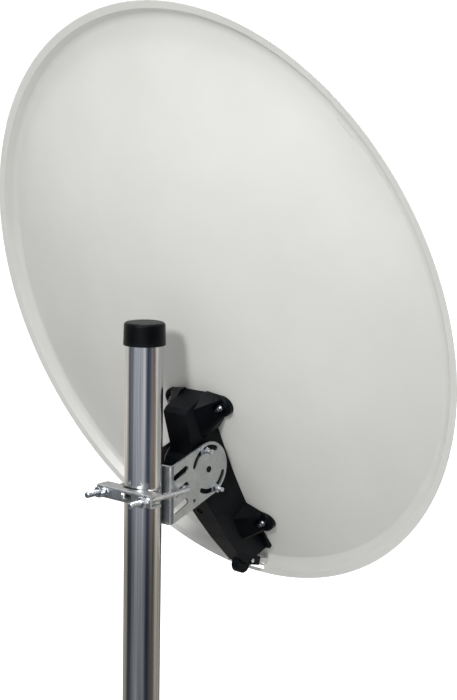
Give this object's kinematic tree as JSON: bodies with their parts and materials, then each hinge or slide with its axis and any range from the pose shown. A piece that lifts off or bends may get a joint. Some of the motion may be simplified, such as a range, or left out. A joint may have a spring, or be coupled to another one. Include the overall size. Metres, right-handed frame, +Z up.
{
  "type": "satellite dish",
  "caption": "Offset satellite dish on a mast: oval steel reflector, moulded back bracket, elevation plates, mast clamp, feed arm and twin-output receiver head.",
  "frame": {"origin": "centre of the mast's foot", "axes": "+Z up along the mast, the dish faces -Y, +X across it"},
  "size_m": [0.7764, 0.7798, 1.0318],
  "materials": {
    "dish_paint": "satin powder coat",
    "black_plastic": "fine texture, slightly glossy on its edges",
    "cap_plastic": "fine texture",
    "galvanised": "bright galvanised sheet",
    "zinc": "bright zinc plate",
    "polished_steel": "polished along its length",
    "lnb_plastic": "moulded",
    "cover_plastic": "smooth",
    "nickel": "nickel plate"
  },
  "bodies": {
    "mast": {"mast_tube": "polished_steel", "mast_cap": "cap_plastic"},
    "mount": {"u_bracket": "galvanised", "hook_bolts": "zinc"},
    "jaw": {"clamp_jaw": "galvanised", "clamp_washers": "zinc", "clamp_nuts": "zinc"},
    "dish": {"reflector": "dish_paint", "back_bracket": "black_plastic", "elevation_bolts": "zinc", "elevation_washers": "zinc", "elevation_nuts": "zinc", "reflector_bolts": "zinc", "reflector_nuts": "zinc", "feed_arm": "dish_paint", "arm_screw": "zinc", "lnb_holder": "black_plastic"},
    "lnb": {"lnb_body": "lnb_plastic", "lnb_feed_cover": "cover_plastic", "f_connectors": "nickel", "connector_insulators": "cover_plastic"}
  },
  "joints": [
    {"name": "azimuth_turn", "type": "hinge", "parent": "mast", "child": "mount", "pos_m": [0, 0, 0.4], "axis": [0, 0, 1], "continuous": true},
    {"name": "jaw_slide", "type": "slide", "parent": "mount", "child": "jaw", "axis": [0, 1, 0], "range_m": [0, 0.012]},
    {"name": "elevation_tilt", "type": "hinge", "parent": "mount", "child": "dish", "pos_m": [0, -0.101, 0.4165], "axis": [1, 0, 0], "range_deg": [-9, 38]},
    {"name": "skew_turn", "type": "hinge", "parent": "dish", "child": "lnb", "pos_m": [0, -0.66884, 0.5371], "axis": [0, 0.9956, 0.0938], "range_deg": [-30, 30]}
  ]
}
